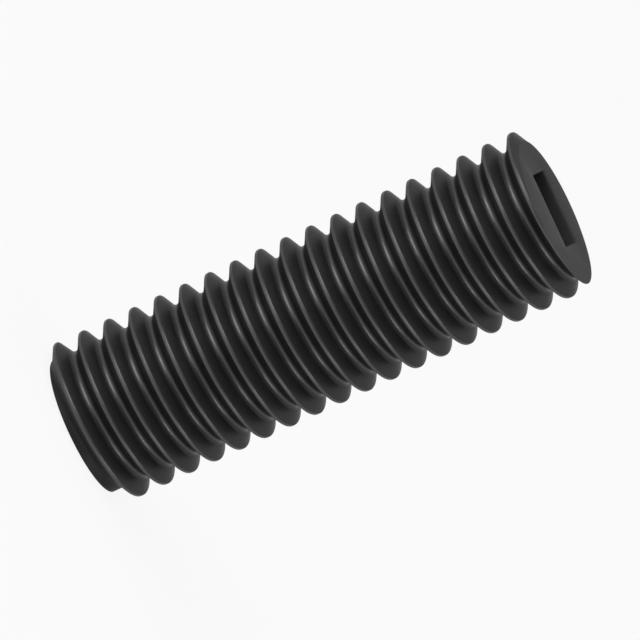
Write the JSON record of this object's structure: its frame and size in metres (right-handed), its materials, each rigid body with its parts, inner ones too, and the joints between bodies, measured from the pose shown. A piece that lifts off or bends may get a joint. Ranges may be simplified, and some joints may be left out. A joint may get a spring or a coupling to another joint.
{
  "type": "grub set screw",
  "caption": "Headless black screw threaded from its plain flat point to its slotted end face, turned with a flat screwdriver blade.",
  "frame": {"origin": "centre of the flat point's end face, on which the screw stands", "axes": "+Z along the screw's axis from the flat point to the slotted face, +X along the slot's long side, -Y the side that the picture shows"},
  "size_m": [0.005, 0.005, 0.015],
  "materials": {
    "black_oxide_steel": "satin black oxide on steel"
  },
  "bodies": {
    "root": {"grub_screw": "black_oxide_steel"}
  },
  "joints": []
}
